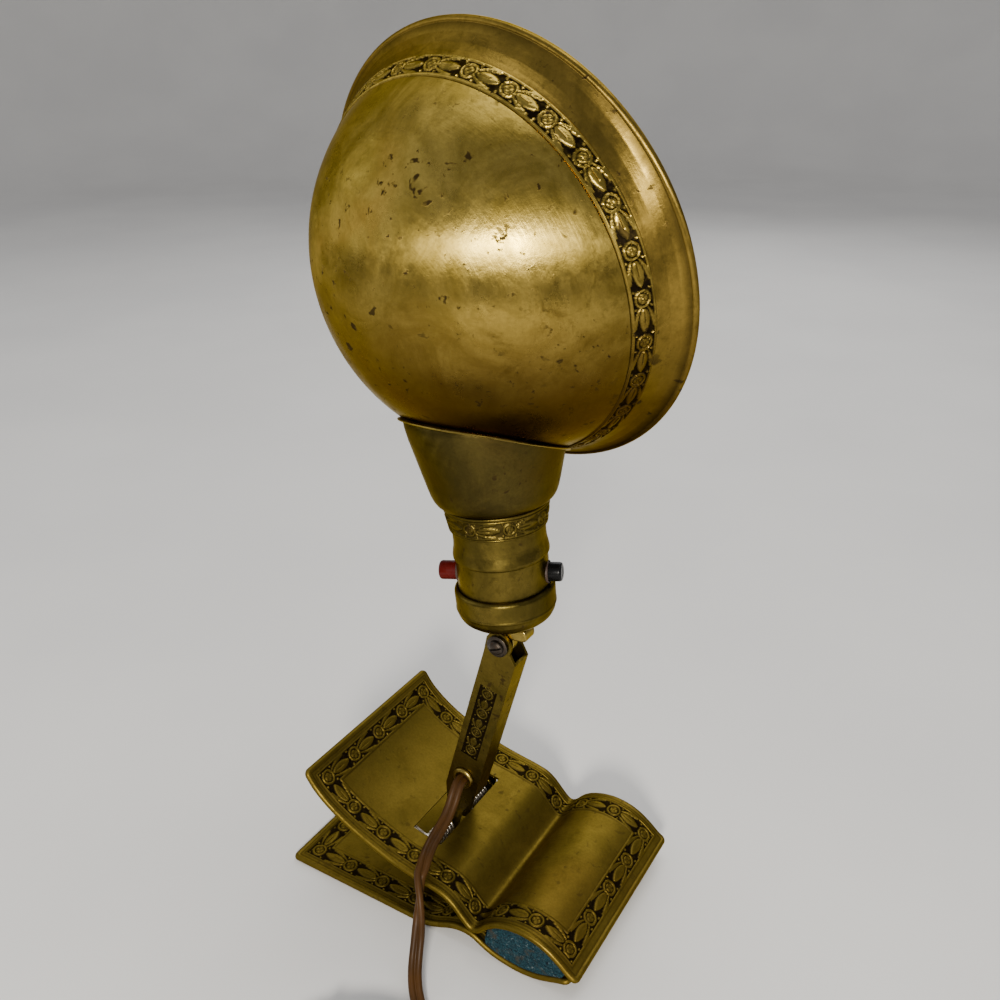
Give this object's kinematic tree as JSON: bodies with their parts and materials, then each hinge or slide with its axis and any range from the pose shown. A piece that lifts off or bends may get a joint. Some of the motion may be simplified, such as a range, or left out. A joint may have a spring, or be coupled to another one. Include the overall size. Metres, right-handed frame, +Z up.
{
  "type": "clamp-on reading lamp",
  "caption": "Vintage brass clamp-on lamp: wide spring clamp with felt pads, tilting channel arm, push-through switch socket and a swivelling domed shade.",
  "frame": {"origin": "on the resting plane, in the middle of the lower plate's folded edge at the handle end", "axes": "+Z up, +X from the handle end towards the jaws, Y along the hinge pin; the shade's mouth faces +Y"},
  "size_m": [0.147, 0.2018, 0.3235],
  "materials": {
    "brass": "aged lacquered brass, satin",
    "steel": "dull steel",
    "dark_steel": "blackened",
    "felt": "worn felt",
    "brown_vinyl": "flexible, satin",
    "red_button": "glossy",
    "black_button": "glossy",
    "phenolic": "moulded, matt",
    "fibre": "pressed fibre board",
    "bulb_glass": "frosted",
    "nickel": "bright nickel plate"
  },
  "bodies": {
    "lower_jaw": {"lower_plate": "brass", "felt_lower": "felt", "hinge_pin": "steel", "spring_far": "steel", "cord_run": "brown_vinyl", "cord_coil": "brown_vinyl", "cord_tail": "brown_vinyl", "coil_tie": "black_button", "plug_body": "brown_vinyl", "plug_blade_left": "nickel", "plug_blade_right": "nickel"},
    "upper_jaw": {"upper_plate": "brass", "felt_upper": "felt", "spring_near": "steel", "cord_lead": "brown_vinyl"},
    "arm": {"arm_channel": "brass", "cord_grommet": "brass", "arm_wire": "brown_vinyl", "knuckle_screw": "dark_steel", "knuckle_washer": "dark_steel", "knuckle_nut": "steel"},
    "socket": {"knuckle": "brass", "nipple_nut": "steel", "socket_cap": "brass", "socket_shell": "brass", "shell_liner": "fibre", "switch_body": "phenolic", "screw_shell": "brass", "centre_contact": "brass", "bulb_base": "nickel", "bulb_glass": "bulb_glass"},
    "switch": {"switch_bar": "phenolic", "red_button": "red_button", "black_button": "black_button"},
    "shade": {"shade_collar": "brass", "shade_neck": "brass", "shade_dome": "brass"}
  },
  "joints": [
    {"name": "jaw_open", "type": "hinge", "parent": "lower_jaw", "child": "upper_jaw", "pos_m": [0.056, 0, 0.0185], "axis": [0, -1, 0], "range_deg": [0, 30], "stiffness_Nm_per_rad": 1.2, "springref_deg": -34.38},
    {"name": "arm_tilt", "type": "hinge", "parent": "upper_jaw", "child": "arm", "pos_m": [0.056, 0, 0.0185], "axis": [0, 1, 0], "range_deg": [-25.5, 8]},
    {"name": "head_tilt", "type": "hinge", "parent": "arm", "child": "socket", "pos_m": [0.08071, 0, 0.1147], "axis": [0, 1, 0], "range_deg": [-60, 58]},
    {"name": "shade_turn", "type": "hinge", "parent": "socket", "child": "shade", "pos_m": [0.0831, 0, 0.11493], "axis": [-0.0958, 0, 0.9954], "continuous": true},
    {"name": "switch_slide", "type": "slide", "parent": "socket", "child": "switch", "axis": [0.944, 0.3173, 0.0909], "range_m": [0, 0.003]}
  ]
}
